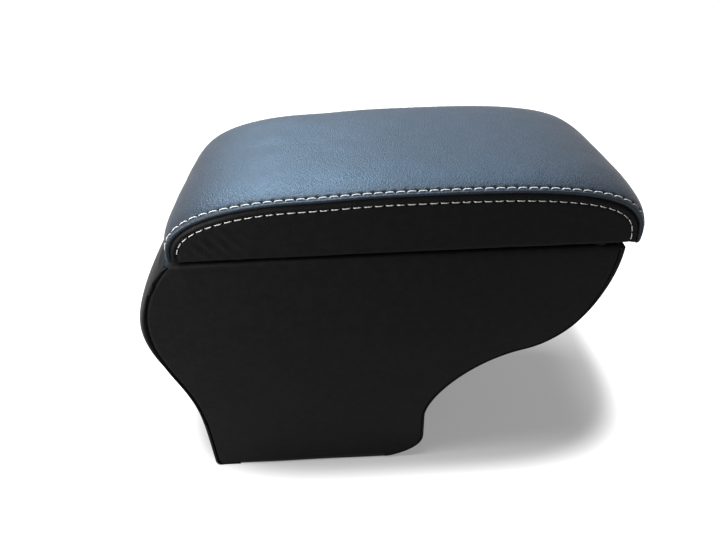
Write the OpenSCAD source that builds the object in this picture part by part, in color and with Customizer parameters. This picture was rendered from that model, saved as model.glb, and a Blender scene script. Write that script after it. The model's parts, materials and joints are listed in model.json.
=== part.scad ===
// Car centre armrest: a leather-covered storage bin on a narrower foot, with a padded hinged lid.
// Origin: centre of the four fixing holes, on the plane that the foot stands on.
// +X points to the front, the lid's free end, and +Z points up.

/* [Overall] */
// Width of the body across its side panels
body_w = 142; // [124:1:170]
// Height of the body up to its rim
body_h = 207; // [195:1:240]
// Length of the lid between its end seams
lid_l = 290; // [275:1:330]

/* [Lid] */
// How far the lid stands out past each side of the body
lid_lip = 2; // [0:0.5:5]
// Height of the lid's seam line at its crest, above the lid's underside
lid_rise = 38.4; // [32:0.2:50]
// How far the padding swells the lid's top strip
lid_crown = 8.8; // [4:0.2:12]
// Gap between the body's rim and the lid
lid_gap = 3.5; // [3.2:0.1:5]
// Distance from the origin back to the lid's rear seam
lid_rear = 62; // [56:1:66]
// Thickness of the board inside the lid
lid_board_t = 10; // [8:0.5:13]
// How far the lid's board stays inside the end seams
lid_board_inset = 3.5; // [3.5:0.5:8]
// Width of the leather turned under the lid
hem_w = 12; // [8:1:20]

/* [Foot] */
// Distance from the origin back to the foot's rear face
foot_rear = 70.5; // [66:0.5:76]
// Distance from the origin to the foot's front face
foot_front = 102.5; // [98:0.5:120]
// Length of the curved toe
toe_l = 32.5; // [24:0.5:40]
// Height of the curved toe
toe_h = 25.7; // [15:0.1:35]
// Radius of the heel's bottom corner
heel_r = 4; // [2:0.5:6]

/* [Side outline] */
// How far the rim's rear corner stands behind the lid's rear seam
rear_step = 2.2; // [0:0.1:4]
// How far the body's front stays behind the lid's front seam
front_setback = 4.5; // [0:0.5:10]
// Height at which the rear face leaves the upright
waist_z = 40; // [30:1:50]
// Distance from the origin back to the belly of the rear curve
belly_x = 88.6; // [84:0.1:96]
// Depth of the belly below the rim
belly_drop = 82; // [70:1:95]
// Lean of the rear curve at the belly, from upright
belly_lean = 16; // [8:1:24]
// Height at which the front face leaves the upright
knee_z = 49.5; // [42:0.5:56]
// Distance from the body's front back to the turn under the nose
nose_back = 51.3; // [40:0.1:60]
// Depth of the turn under the nose, below the rim
nose_drop = 87.8; // [76:0.1:96]
// Slope of the underside at that turn
nose_slope = 15; // [8:0.5:20]
// Slope of the rear curve where it meets the rim
rim_slope = 30.6; // [20:0.2:45]

/* [Curve handles] */
// Pull of the toe's curve at the floor
toe_pull_low = 3; // [1:0.5:8]
// Pull of the toe's curve at the foot's front face
toe_pull_high = 18.6; // [10:0.2:20]
// Pull of the knee's curve
knee_pull = 20; // [14:1:30]
// Pull of the knee's curve at the nose
nose_pull_low = 41.5; // [30:0.5:48]
// Pull of the nose's curve at its lower end
nose_pull_high = 21; // [14:1:28]
// Pull of the nose's curve at the rim
front_pull = 61.5; // [50:0.5:72]
// Pull of the rear curve at the waist
waist_pull = 47; // [35:1:55]
// Pull of the rear curve just below the belly
belly_pull_low = 30.5; // [20:0.5:38]
// Pull of the rear curve just above the belly
belly_pull_high = 49.3; // [40:0.1:55]
// Pull of the rear curve at the rim
rim_pull = 5; // [3:0.5:10]

/* [Rear padding] */
// Swell of the padded back strip along most of its height
back_crown = 7; // [5:0.5:8]
// Extra swell of the back strip at the belly
belly_crown = 5; // [2:0.5:6]
// Swell of the back strip on the foot
heel_crown = 3; // [2:0.5:5]

/* [Thickness] */
// Thickness of the side boards
side_t = 8; // [6:0.5:12]
// Thickness of the bent front and rear walls
wall_t = 4; // [3:0.5:5]
// Thickness of the floor board
floor_t = 8; // [6.5:0.5:12]
// Thickness of the leather
skin_t = 1.5; // [1:0.1:1.8]
// Thickness of the felt lining
felt_t = 1.2; // [0.8:0.1:2]
// Gap left between one layer and the next
fit = 0.1; // [0.05:0.05:0.2]
// Gap between the foam and the leather over it
foam_fit = 0.3; // [0.2:0.05:0.5]

/* [Rails] */
// Depth of the hinge rail from the rim's rear corner
hinge_rail_d = 22; // [20:1:28]
// Depth of the catch rail from the body's front
catch_rail_d = 23; // [20:1:30]
// Height of both rails
rail_h = 20; // [16:1:26]
// How far the leather drops inside the bin
drop_h = 15; // [8:1:18]

/* [Hinge] */
// Length of the hinge
hinge_l = 100; // [70:1:110]
// Width of each leaf from the pin
leaf_w = 20; // [18:1:22]
// Thickness of the leaves
leaf_t = 0.8; // [0.6:0.1:0.9]
// Radius of the hinge pin
pin_r = 0.7; // [0.6:0.05:0.75]
// Running clearance round the hinge pin
pin_fit = 0.05; // [0.02:0.01:0.08]
// Number of knuckles, an odd number
knuckles = 7; // [5:2:9]
// Distance of the pin behind the lid's rear seam
pin_back = 7; // [6:0.5:7.5]
// Clearance above and below the knuckles
hinge_fit = 0.15; // [0.1:0.05:0.2]
// Gap between two knuckles
knuckle_gap = 0.3; // [0.2:0.1:0.6]

/* [Catch] */
// Length of the magnet
magnet_l = 24; // [16:1:30]
// Thickness of the magnet
magnet_t = 6; // [4:0.5:8]
// Height of the magnet
magnet_h = 9; // [6:0.5:10]
// Wall of the plastic housing
housing_wall = 2; // [1.5:0.5:3]
// Length of each screw ear of the housing
ear_l = 8; // [7:0.5:12]
// Height of the housing
housing_h = 12; // [11:0.5:14]
// Thickness of the strike plate
strike_t = 1; // [0.8:0.1:1.2]
// Air gap between the magnet and the strike plate
catch_air = 0.3; // [0.2:0.1:0.5]

/* [Buffers] */
// Radius of the rubber buffers
buffer_r = 4; // [3:0.5:4.5]
// Radius of the buffer's peg
peg_r = 2; // [1.5:0.1:2.2]
// Length of the buffer's peg
peg_l = 7; // [5:0.5:10]
// Distance of the buffers behind the body's front
buffer_back = 14; // [10:1:20]
// Gap that the buffers leave under the lid
buffer_air = 0.3; // [0.2:0.1:0.5]

/* [Fixings] */
// Distance between the fixing holes along X
hole_span_x = 90; // [60:1:100]
// Distance between the fixing holes along Y
hole_span_y = 80; // [60:1:86]
// Radius of the fixing holes
hole_r = 2.75; // [2:0.05:3.5]
// Radius of the openings in the felt over the fixing holes
felt_hole_r = 7; // [5:0.5:9]
// Shank radius of the frame screws
frame_screw_r = 1.75; // [1.5:0.05:2]
// Head radius of the frame screws
frame_head_r = 3.2; // [3:0.1:4]
// Head height of the frame screws
frame_head_h = 2.2; // [1.5:0.1:2.5]
// Length of the frame screws
frame_screw_l = 30; // [24:1:36]
// Shank radius of the small screws
small_screw_r = 1.25; // [1:0.05:1.4]
// Head radius of the small screws
small_head_r = 2.4; // [2.1:0.1:2.6]
// Head height of the small screws
small_head_h = 0.9; // [0.7:0.1:1]
// Length of the small screws
small_screw_l = 10; // [8:0.5:10.5]
// Gap round a screw's shank
screw_fit = 0.05; // [0.02:0.01:0.08]

/* [Hidden] */

// Colours, as the photo shows the outside
leather_black = "#202023";
leather_top = "#3a4048";
board_brown = "#b08c5c";
felt_black = "#161616";
foam_grey = "#8d8d86";
steel = "#8f9296";
rubber_black = "#101010";

// Heights and widths that several pieces share; past is how far a cut runs beyond what it opens
half_w = body_w / 2;
lid_half_w = half_w + lid_lip;
lid_z = body_h + lid_gap;
lid_mid = lid_l / 2 - lid_rear;
rim_rear = -lid_rear - rear_step;
rim_front = lid_l - lid_rear - front_setback;
layer = skin_t + fit;
past = 1;
board_top = body_h - layer;
side_out = half_w - layer;
side_in = side_out - side_t;
span = side_in - fit;
wall_in = layer + wall_t;
hem_lift = 0.3;
heel_top = heel_r + 8;
toe_start = foot_front - toe_l;
belly_z = body_h - belly_drop;
nose = [rim_front - nose_back, body_h - nose_drop];
hinge_rail_face = rim_rear + hinge_rail_d;
catch_rail_face = rim_front - catch_rail_d;

// Small helpers
function unit(v) = v / norm(v);
function reversed(list) = [for (i = [len(list) - 1:-1:0]) list[i]];
function right_of(v) = [v[1], -v[0]];
function left_of(v) = [-v[1], v[0]];
function polar(length, angle) = [length * cos(angle), length * sin(angle)];

// A cubic curve through p[0] and p[3] with handles p[1] and p[2]
function curve_at(p, t) =
    pow(1 - t, 3) * p[0] + 3 * t * pow(1 - t, 2) * p[1] + 3 * t * t * (1 - t) * p[2] + pow(t, 3) * p[3];
function curve_slope(p, t) =
    pow(1 - t, 2) * (p[1] - p[0]) + 2 * t * (1 - t) * (p[2] - p[1]) + t * t * (p[3] - p[2]);
// Stations along a curve: each is a point and the direction of travel there
function stations(p, steps, first = 0) =
    [for (i = [first:steps]) [curve_at(p, i / steps), unit(curve_slope(p, i / steps))]];

// Front edge of the side outline, from the floor up to the rim
toe_curve = [[toe_start, 0], [toe_start + toe_pull_low, 0],
    [foot_front, toe_h - toe_pull_high], [foot_front, toe_h]];
knee_curve = [[foot_front, knee_z], [foot_front, knee_z + knee_pull],
    nose - polar(nose_pull_low, nose_slope), nose];
nose_curve = [nose, nose + polar(nose_pull_high, nose_slope),
    [rim_front, body_h - front_pull], [rim_front, body_h]];
front_line = concat(stations(toe_curve, 8), stations(knee_curve, 12), stations(nose_curve, 16, 1));

// Rear edge of the side outline, from above the heel up to the rim
belly = [-belly_x, belly_z];
belly_dir = 90 + belly_lean;
waist_curve = [[-foot_rear, waist_z], [-foot_rear, waist_z + waist_pull],
    belly - polar(belly_pull_low, belly_dir), belly];
back_curve = [belly, belly + polar(belly_pull_high, belly_dir),
    [rim_rear, body_h] - polar(rim_pull, rim_slope), [rim_rear, body_h]];
rear_line = concat(stations(waist_curve, 10), stations(back_curve, 14, 1));

// Points of an edge moved inwards, and one point past its end so that a level cut is clean
function inset_front(d) = [for (s = front_line) s[0] - d * right_of(s[1])];
function inset_rear(d) = [for (s = rear_line) s[0] - d * left_of(s[1])];
function past_end(points, line) = concat(points, [points[len(points) - 1] + 12 * line[len(line) - 1][1]]);
function heel(d) = d < heel_r
    ? [for (a = [0:30:90]) [-foot_rear + heel_r, heel_r] - (heel_r - d) * [sin(a), cos(a)]]
    : [[-foot_rear + d, d]];

// Side outline of the body, set in by inset and cut level at top
module outline(inset, top) {
    intersection() {
        polygon(concat(past_end(inset_front(inset), front_line),
            reversed(past_end(inset_rear(inset), rear_line)), reversed(heel(inset))));
        translate([-2 * lid_l, -past]) square([4 * lid_l, top + past]);
    }
}

// Extrudes an outline drawn in X and Z from y0 to y1
module prism_y(y0, y1) {
    translate([0, y1, 0]) rotate([90, 0, 0]) linear_extrude(y1 - y0) children();
}

// A block given by its lowest and highest corners
module block(low, high) {
    translate(low) cube(high - low);
}

// Round bar along Z, Y or X from a start point
module bar_z(p, r, length) { translate(p) cylinder(h = length, r = r, $fn = 32); }
module bar_y(p, r, length) { translate(p) rotate([-90, 0, 0]) cylinder(h = length, r = r, $fn = 32); }
module bar_x(p, r, length) { translate(p) rotate([0, 90, 0]) cylinder(h = length, r = r, $fn = 32); }

// A closed solid between two grids of points with the same rows and columns
module grid_solid(outer, inner) {
    rows = len(outer);
    cols = len(outer[0]);
    function at(side, r, c) = (side * rows + r) * cols + c;
    function quad(a, b, c, d) = [[a, c, b], [a, d, c]];
    faces = [
        for (r = [0:rows - 2]) for (c = [0:cols - 2]) each concat(
            quad(at(0, r, c), at(0, r + 1, c), at(0, r + 1, c + 1), at(0, r, c + 1)),
            quad(at(1, r, c), at(1, r, c + 1), at(1, r + 1, c + 1), at(1, r + 1, c))),
        for (r = [0:rows - 2]) each concat(
            quad(at(0, r, 0), at(1, r, 0), at(1, r + 1, 0), at(0, r + 1, 0)),
            quad(at(0, r, cols - 1), at(0, r + 1, cols - 1), at(1, r + 1, cols - 1), at(1, r, cols - 1))),
        for (c = [0:cols - 2]) each concat(
            quad(at(0, 0, c), at(0, 0, c + 1), at(1, 0, c + 1), at(1, 0, c)),
            quad(at(0, rows - 1, c), at(1, rows - 1, c), at(1, rows - 1, c + 1), at(0, rows - 1, c + 1)))];
    polyhedron(points = [for (side = [outer, inner]) for (row = side) for (p = row) p], faces = faces);
}

// Positions across a strip, closer together near its edges
cross_steps = 8;
cross = [for (i = [-cross_steps:cross_steps]) sin(90 * i / cross_steps)];
cross_inside = [for (i = [1:len(cross) - 2]) cross[i]];
// Swell of a padded strip across its width: full in the middle, none at the seams
function swell(v) = pow(max(0, 1 - pow(abs(v), 3.6)), 0.42);

// A row of a padded strip: outer point, inner point, direction of swell, amount, half width
function row(out, in, dir, amount, half) = [out, in, dir, amount, half];
function row_line(r, side, over) =
    [for (v = over) let (p = r[side] + r[2] * r[3] * swell(v)) [p[0], r[4] * v, p[1]]];
// A regular row: the skin's outer face lies shift inside the line, and depth is its thickness
function skin_row(p, n, amount, half, shift, depth) =
    row(p - n * shift, p - n * (shift + depth), n, amount, half);

// Frame: boards, walls and rails

module fixing_holes(r, z0, z1) {
    for (x = [-1, 1], y = [-1, 1])
        bar_z([x * hole_span_x / 2, y * hole_span_y / 2, z0], r, z1 - z0);
}

// Centres of the frame screws, in X and Z: two in the floor board, well clear of the fixing holes,
// and one in each rail
low_screw_z = layer + frame_head_r + 2 * screw_fit;
low_screw_x = hole_span_x / 4;
rail_screw_in = 7;
rail_screw_z = board_top - rail_h / 2;
frame_points = [
    [-low_screw_x, low_screw_z],
    [low_screw_x, low_screw_z],
    [hinge_rail_face - rail_screw_in, rail_screw_z],
    [catch_rail_face + rail_screw_in, rail_screw_z]];

module frame_screws(side) {
    for (p = frame_points) {
        mirror([0, side > 0 ? 1 : 0, 0]) {
            bar_y([p[0], -side_out + fit, p[1]], frame_head_r, frame_head_h);
            bar_y([p[0], -side_out + fit, p[1]], frame_screw_r, frame_screw_l);
        }
    }
}

// Room for the frame screws in the boards
module frame_screw_room(side) {
    for (p = frame_points) {
        mirror([0, side > 0 ? 1 : 0, 0]) {
            bar_y([p[0], -side_out - past, p[1]], frame_head_r + screw_fit, past + frame_head_h + 2 * fit);
            bar_y([p[0], -side_out, p[1]], frame_screw_r + screw_fit, frame_screw_l + past);
        }
    }
}

module floor_board() {
    color(board_brown) difference() {
        block([-foot_rear + wall_in + fit, -span, 0], [toe_start, span, floor_t]);
        fixing_holes(hole_r, -past, floor_t + past);
        frame_screw_room(-1);
        frame_screw_room(1);
    }
}

module side_board(side) {
    color(board_brown) difference() {
        mirror([0, side > 0 ? 1 : 0, 0])
            prism_y(-side_out, -side_in) outline(layer, board_top);
        frame_screw_room(side);
        bar_z([buffer_x, side * buffer_y, board_top - peg_l], peg_r + screw_fit, peg_l + past);
    }
}

module rear_wall() {
    color(board_brown) prism_y(-span, span) intersection() {
        difference() {
            outline(layer, board_top);
            outline(wall_in, body_h + past);
            translate([-foot_rear + wall_in, 0]) square([foot_rear, 2 * heel_r]);
        }
        translate([-2 * lid_l, heel_r]) square([2 * lid_l + rim_rear + hinge_rail_d, body_h]);
    }
}

module front_wall() {
    color(board_brown) prism_y(-span, span) intersection() {
        difference() {
            outline(layer, board_top);
            outline(wall_in, body_h + past);
        }
        translate([toe_start + fit, 0]) square([2 * lid_l, body_h]);
    }
}

module hinge_rail() {
    color(board_brown) difference() {
        prism_y(-span, span) intersection() {
            outline(wall_in + fit, board_top);
            translate([rim_rear - lid_l, board_top - rail_h]) square([lid_l + hinge_rail_d, rail_h + past]);
        }
        frame_screw_room(-1);
        frame_screw_room(1);
        leaf_screw_holes(lower_screws, board_top - small_screw_l, small_screw_l + past);
    }
}

module catch_rail() {
    color(board_brown) difference() {
        prism_y(-span, span) intersection() {
            outline(wall_in + fit, board_top);
            translate([catch_rail_face, board_top - rail_h]) square([lid_l, rail_h + past]);
        }
        frame_screw_room(-1);
        frame_screw_room(1);
        for (y = [-1, 1])
            bar_x([catch_rail_face - past, y * catch_screw_y, catch_screw_z],
                small_screw_r + screw_fit, small_screw_l + past);
    }
}

// Outer covers of the body

// Swell of the back strip at height z: it grows over swell_ramp above the waist, and it is fullest
// belly_up above the belly
swell_ramp = 40;
belly_up = 22;
belly_spread = 24;
function back_swell(z) =
    let (lift = min(1, max(0, (z - waist_z) / swell_ramp)))
    heel_crown + (back_crown - heel_crown) * lift * lift * (3 - 2 * lift)
        + belly_crown * exp(-pow((z - belly_z - belly_up) / belly_spread, 2));

// The back strip's rows above the heel: point, normal, direction and amount of the swell.
// Near the rim the swell turns level, so that the padding stays below the lid.
rim_round = 3;
rim_turn = [0.6, 0.9];
below_rim = 1;
back_rows = [for (i = [0:len(rear_line) - 2])
    let (p = rear_line[i][0], n = left_of(rear_line[i][1]), amount = back_swell(p[1]),
        up = min(n[1], (body_h - below_rim - p[1]) / amount))
    [p, n, [-sqrt(1 - up * up), up], amount]];

module rear_cover() {
    heel_mid = [-foot_rear + heel_r, heel_r];
    rows = concat(
        [row([-foot_rear + wall_in, hem_lift], [-foot_rear + wall_in, skin_t], [0, 0], 0, half_w)],
        [row([-foot_rear + heel_r, hem_lift], [-foot_rear + heel_r, skin_t], [0, 0], 0, half_w)],
        [for (a = [30:30:90]) let (n = [-sin(a), -cos(a)])
            row(heel_mid + heel_r * n, heel_mid + (heel_r - skin_t) * n, [-1, 0],
                heel_crown * pow(sin(a), 2), half_w)],
        [skin_row([-foot_rear, heel_top], [-1, 0], heel_crown, half_w, 0, skin_t)],
        [for (r = back_rows) row(r[0], r[0] - skin_t * r[1], r[2], r[3], half_w)],
        [row([rim_rear - rim_turn[0], body_h - rim_turn[1]],
            [rim_rear + rim_turn[0], body_h - skin_t - rim_turn[1] + fit], [-1, 0],
            back_crown - rim_turn[0], half_w)],
        [row([rim_rear, body_h], [rim_rear + skin_t / 2, body_h - skin_t], [-1, 0],
            back_crown - rim_round, half_w)],
        [row([rim_rear + skin_t, body_h], [rim_rear + skin_t, body_h - skin_t], [0, 0], 0, half_w)]);
    color(leather_black) difference() {
        union() {
            grid_solid([for (r = rows) row_line(r, 0, cross)], [for (r = rows) row_line(r, 1, cross)]);
            block([rim_rear + skin_t / 2, -span, body_h - skin_t], [hinge_rail_face + layer, span, body_h]);
            block([hinge_rail_face + fit, -span, body_h - drop_h],
                [hinge_rail_face + layer, span, body_h - skin_t / 2]);
        }
        leaf_screw_holes(lower_screws, body_h - skin_t - past, skin_t + 2 * past);
    }
}

module rear_foam() {
    rows = concat([[[-foot_rear, heel_top], [-1, 0], [-1, 0], heel_crown]], back_rows);
    color(foam_grey) grid_solid(
        [for (r = rows) row_line(row(r[0] - (skin_t + foam_fit) * r[1], r[0], r[2], r[3], half_w),
            0, cross_inside)],
        [for (r = rows) row_line(row(r[0] - skin_t * r[1], r[0], r[2], 0, half_w), 0, cross_inside)]);
}

module front_cover() {
    color(leather_black) difference() {
        front_skin();
        for (y = [-1, 1])
            bar_x([catch_rail_face - layer - past, y * catch_screw_y, catch_screw_z],
                small_screw_r + screw_fit, layer + 2 * past);
    }
}

module front_skin() {
    union() {
        prism_y(-half_w, half_w) intersection() {
            difference() {
                outline(0, body_h);
                outline(skin_t, body_h - skin_t);
            }
            translate([toe_start + fit, hem_lift]) square([2 * lid_l, body_h]);
            union() {
                translate([toe_start, 0]) square([2 * lid_l, body_h - skin_t]);
                translate([rim_front - skin_t, 0]) square([lid_l, body_h]);
            }
        }
        block([catch_rail_face - layer, -span, body_h - skin_t], [rim_front - skin_t / 2, span, body_h]);
        block([catch_rail_face - layer, -span, body_h - drop_h],
            [catch_rail_face - fit, span, body_h - skin_t / 2]);
    }
}

module side_cover(side) {
    flange_in = side_in - layer;
    hem_rear = -foot_rear + wall_in + fit;
    color(leather_black) difference() {
        mirror([0, side > 0 ? 1 : 0, 0]) {
            prism_y(-half_w, -half_w + skin_t) outline(layer, body_h);
            block([hem_rear, -half_w, hem_lift], [toe_start, -half_w + skin_t, 2 * heel_r]);
            block([hem_rear, -half_w, hem_lift], [toe_start, -side_in, skin_t]);
            block([rim_rear + skin_t + fit, -half_w, body_h - skin_t],
                [rim_front - layer, -span - fit, body_h]);
            block([hinge_rail_face + layer + fit, -half_w + skin_t / 2, body_h - skin_t],
                [catch_rail_face - layer - fit, -flange_in, body_h]);
            block([hinge_rail_face + layer + fit, -side_in + fit, body_h - drop_h],
                [catch_rail_face - layer - fit, -flange_in, body_h - skin_t / 2]);
        }
        bar_z([buffer_x, side * buffer_y, body_h - skin_t - past], peg_r + screw_fit, skin_t + 2 * past);
    }
}

// Felt lining of the bin

lining_top = body_h - drop_h - fit;
module felt_wrap() {
    color(felt_black) difference() {
        prism_y(-span + felt_t + fit, span - felt_t - fit) difference() {
            intersection() {
                outline(wall_in + fit, lining_top);
                translate([-2 * lid_l, floor_t + fit]) square([4 * lid_l, body_h]);
                felt_room();
            }
            intersection() {
                outline(wall_in + fit + felt_t, body_h + past);
                translate([-2 * lid_l, floor_t + fit + felt_t]) square([4 * lid_l, body_h]);
            }
        }
        fixing_holes(felt_hole_r, floor_t - past, floor_t + fit + felt_t + past);
    }
}

// The felt stops under the two rails
module felt_room() {
    translate([-2 * lid_l, -past]) square([4 * lid_l, board_top - rail_h - fit + past]);
}

module felt_side(side) {
    color(felt_black) mirror([0, side > 0 ? 1 : 0, 0])
        prism_y(-side_in + fit, -side_in + fit + felt_t) intersection() {
            outline(wall_in + fit, lining_top);
            translate([-2 * lid_l, floor_t + fit]) square([4 * lid_l, body_h]);
            union() {
                felt_room();
                translate([hinge_rail_face + fit, 0])
                    square([catch_rail_face - hinge_rail_face - 2 * fit, body_h]);
            }
        }
}

// Magnetic catch

strike_z = lid_z - hinge_fit - strike_t;
magnet_top = strike_z - catch_air;
housing_d = magnet_t + 2 * housing_wall;
housing_half = magnet_l / 2 + housing_wall;
housing_front = catch_rail_face - layer - fit;
housing_mid = housing_front - housing_d / 2;
ear_drop = 2;
ear_top = body_h - ear_drop;
catch_screw_y = housing_half + ear_l / 2;
catch_screw_z = (ear_top + magnet_top - housing_h) / 2;

module catch_housing() {
    color(rubber_black) difference() {
        union() {
            block([housing_front - housing_d, -housing_half, magnet_top - housing_h],
                [housing_front, housing_half, magnet_top]);
            block([housing_front - housing_wall, -housing_half - ear_l, magnet_top - housing_h],
                [housing_front, housing_half + ear_l, ear_top]);
        }
        block([housing_mid - magnet_t / 2 - fit, -magnet_l / 2 - fit, magnet_top - magnet_h - fit],
            [housing_mid + magnet_t / 2 + fit, magnet_l / 2 + fit, magnet_top + past]);
        for (y = [-1, 1])
            bar_x([housing_front - housing_d, y * catch_screw_y, catch_screw_z],
                small_screw_r + screw_fit, housing_d + past);
    }
}

module catch_magnet() {
    color(steel) block([housing_mid - magnet_t / 2, -magnet_l / 2, magnet_top - magnet_h],
        [housing_mid + magnet_t / 2, magnet_l / 2, magnet_top]);
}

module catch_screws() {
    color(steel) for (y = [-1, 1]) {
        bar_x([housing_front - housing_wall - small_head_h, y * catch_screw_y, catch_screw_z],
            small_head_r, small_head_h);
        bar_x([housing_front - housing_wall - small_head_h / 2, y * catch_screw_y, catch_screw_z],
            small_screw_r, small_screw_l + small_head_h / 2);
    }
}

strike_rim = 0.6;
strike_edge = 2;
strike_half = housing_half + 2 * (small_head_r + strike_rim);
strike_w = magnet_t + 2 * strike_edge;
strike_screw_y = strike_half - small_head_r - strike_rim;

module strike_plate() {
    color(steel) difference() {
        block([housing_mid - strike_w / 2, -strike_half, strike_z],
            [housing_mid + strike_w / 2, strike_half, lid_z - hinge_fit]);
        for (y = [-1, 1])
            bar_z([housing_mid, y * strike_screw_y, strike_z - past],
                small_screw_r + screw_fit, strike_t + 2 * past);
    }
}

module strike_screws() {
    color(steel) for (y = [-1, 1]) {
        bar_z([housing_mid, y * strike_screw_y, strike_z - small_head_h], small_head_r, small_head_h);
        bar_z([housing_mid, y * strike_screw_y, strike_z - small_head_h / 2],
            small_screw_r, small_screw_l + small_head_h / 2);
    }
}

// Rubber buffers on the rim

buffer_x = rim_front - buffer_back;
buffer_y = side_out - side_t / 2;
peg_in = 1;
module buffer(side) {
    color(rubber_black) {
        bar_z([buffer_x, side * buffer_y, body_h], buffer_r, lid_gap - buffer_air);
        bar_z([buffer_x, side * buffer_y, body_h + peg_in - peg_l], peg_r, peg_l);
    }
}

// Hinge

pin = [-lid_rear - pin_back, body_h + lid_gap / 2];
knuckle_r = lid_gap / 2 - hinge_fit;
bore_r = pin_r + pin_fit;
knuckle_l = hinge_l / knuckles;
leaf_edge = 4.5;
leaf_notch = 0.4;
pin_head_t = 1;
pin_head_fit = 0.2;
screw_pitch = hinge_l / 4;
lower_screws = [for (i = [0:3]) [pin[0] + leaf_w - leaf_edge, (i - 1.5) * screw_pitch]];
upper_screws = [for (i = [0:2]) [pin[0] + leaf_w - leaf_edge, (i - 1) * screw_pitch]];

module leaf_screw_holes(places, z, length) {
    for (p = places) bar_z([p[0], p[1], z], small_screw_r + screw_fit, length);
}

// One leaf with every second knuckle, starting from the given one
module hinge_leaf(first, z_low, places) {
    difference() {
        union() {
            block([pin[0] + knuckle_r + leaf_notch, -hinge_l / 2, z_low],
                [pin[0] + leaf_w, hinge_l / 2, z_low + leaf_t]);
            for (i = [first:2:knuckles - 1]) {
                y0 = -hinge_l / 2 + i * knuckle_l + knuckle_gap / 2;
                block([pin[0], y0, z_low],
                    [pin[0] + leaf_w / 2, y0 + knuckle_l - knuckle_gap, z_low + leaf_t]);
                bar_y([pin[0], y0, pin[1]], knuckle_r, knuckle_l - knuckle_gap);
            }
        }
        bar_y([pin[0], -hinge_l, pin[1]], bore_r, 2 * hinge_l);
        leaf_screw_holes(places, z_low - past, leaf_t + 2 * past);
    }
}

module hinge_leaf_lower() {
    color(steel) hinge_leaf(0, pin[1] - knuckle_r, lower_screws);
}

module hinge_leaf_upper() {
    color(steel) hinge_leaf(1, pin[1] + knuckle_r - leaf_t, upper_screws);
}

module hinge_pin() {
    pin_half = hinge_l / 2 + fit;
    color(steel) {
        bar_y([pin[0], -pin_half - pin_head_t / 2, pin[1]], pin_r, 2 * pin_half + pin_head_t);
        for (y = [-pin_half - pin_head_t, pin_half])
            bar_y([pin[0], y, pin[1]], knuckle_r - pin_head_fit, pin_head_t);
    }
}

module hinge_screws_lower() {
    top = pin[1] - knuckle_r + leaf_t;
    color(steel) for (p = lower_screws) {
        bar_z([p[0], p[1], top], small_head_r, small_head_h);
        bar_z([p[0], p[1], top - small_screw_l], small_screw_r, small_screw_l + small_head_h / 2);
    }
}

module hinge_screws_upper() {
    low = pin[1] + knuckle_r - leaf_t;
    color(steel) for (p = upper_screws) {
        bar_z([p[0], p[1], low - small_head_h], small_head_r, small_head_h);
        bar_z([p[0], p[1], low - small_head_h / 2], small_screw_r, small_screw_l + small_head_h / 2);
    }
}

// Lid

// The seam line over the lid: a rounded arch, fuller at the front end than at the rear
arch_step = 7.5;
function arch_point(side, angle) = let (e = side < 0 ? [3, 0.37] : [3.5, 0.3])
    [lid_mid + side * lid_l / 2 * pow(cos(angle), 2 / e[0]), lid_z + lid_rise * pow(sin(angle), 2 * e[1])];
arch = concat([for (a = [0:arch_step:90]) arch_point(-1, a)],
    [for (a = [90 - arch_step:-arch_step:0]) arch_point(1, a)]);
last = len(arch) - 1;
arch_normal = [for (i = [0:last])
    i == 0 ? [-1, 0] : i == last ? [1, 0] : left_of(unit(arch[i + 1] - arch[i - 1]))];

// The arch set in by d, closed along the lid's underside
module lid_outline(d) {
    polygon([for (i = [0:last]) arch[i] - d * arch_normal[i]]);
}

board_z = lid_z + layer;
board_side_gap = 0.4;
foam_edge = 1.5;
edge_h = 3;
edge_tuck = 1;
hem_step = 0.4;

module lid_top_cover() {
    // The rows at one end, for side -1 or 1: a rounded lower edge of height edge_h, drawn in by
    // edge_tuck, then the narrower hem
    function end_rows(side) = let (x = lid_mid + side * lid_l / 2, out = [side, 0]) concat(
        [for (a = [0:30:90]) let (in = 1 - cos(a), up = 1 - sin(a))
            row([x - side * layer * in, lid_z + edge_h * up],
                [x - side * skin_t, lid_z + skin_t + (edge_h - skin_t) * up],
                out, lid_crown - edge_tuck * in * in, lid_half_w)],
        [row([x - side * (layer + hem_step), lid_z], [x - side * (2 * layer - hem_step), lid_z + skin_t],
            out, lid_crown - 2 * edge_tuck, lid_half_w - layer),
        row([x - side * hem_w, lid_z], [x - side * hem_w, lid_z + skin_t], [0, 0], 0, lid_half_w - layer)]);
    rows = concat(
        reversed(end_rows(-1)),
        [for (i = [1:last - 1]) skin_row(arch[i], arch_normal[i], lid_crown, lid_half_w, 0, skin_t)],
        end_rows(1));
    color(leather_top) difference() {
        grid_solid([for (r = rows) row_line(r, 0, cross)], [for (r = rows) row_line(r, 1, cross)]);
        leaf_screw_holes(upper_screws, lid_z - past, skin_t + 2 * past);
    }
}

module lid_foam() {
    // Each row is a point on the arch and its normal; the foam lies just inside the leather
    half = (lid_half_w - skin_t - foam_fit) / cross_inside[len(cross_inside) - 1];
    rows = concat([[[arch[0][0], board_z + foam_edge], [-1, 0]]],
        [for (i = [1:last - 1]) [arch[i], arch_normal[i]]],
        [[[arch[last][0], board_z + foam_edge], [1, 0]]]);
    function top_line(r) =
        row_line(row(r[0] - (skin_t + foam_fit) * r[1], r[0], r[1], lid_crown, half), 0, cross_inside);
    top = [for (r = rows) top_line(r)];
    color(foam_grey) difference() {
        grid_solid(top, [for (line = top) [for (p = line) [p[0], p[1], board_z]]]);
        lid_board_block(fit);
    }
}

module lid_board_block(grow) {
    half = lid_half_w - 2 * layer - board_side_gap + grow;
    block([-lid_rear + lid_board_inset - grow, -half, board_z - grow],
        [lid_l - lid_rear - lid_board_inset + grow, half, board_z + lid_board_t + grow]);
}

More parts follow.
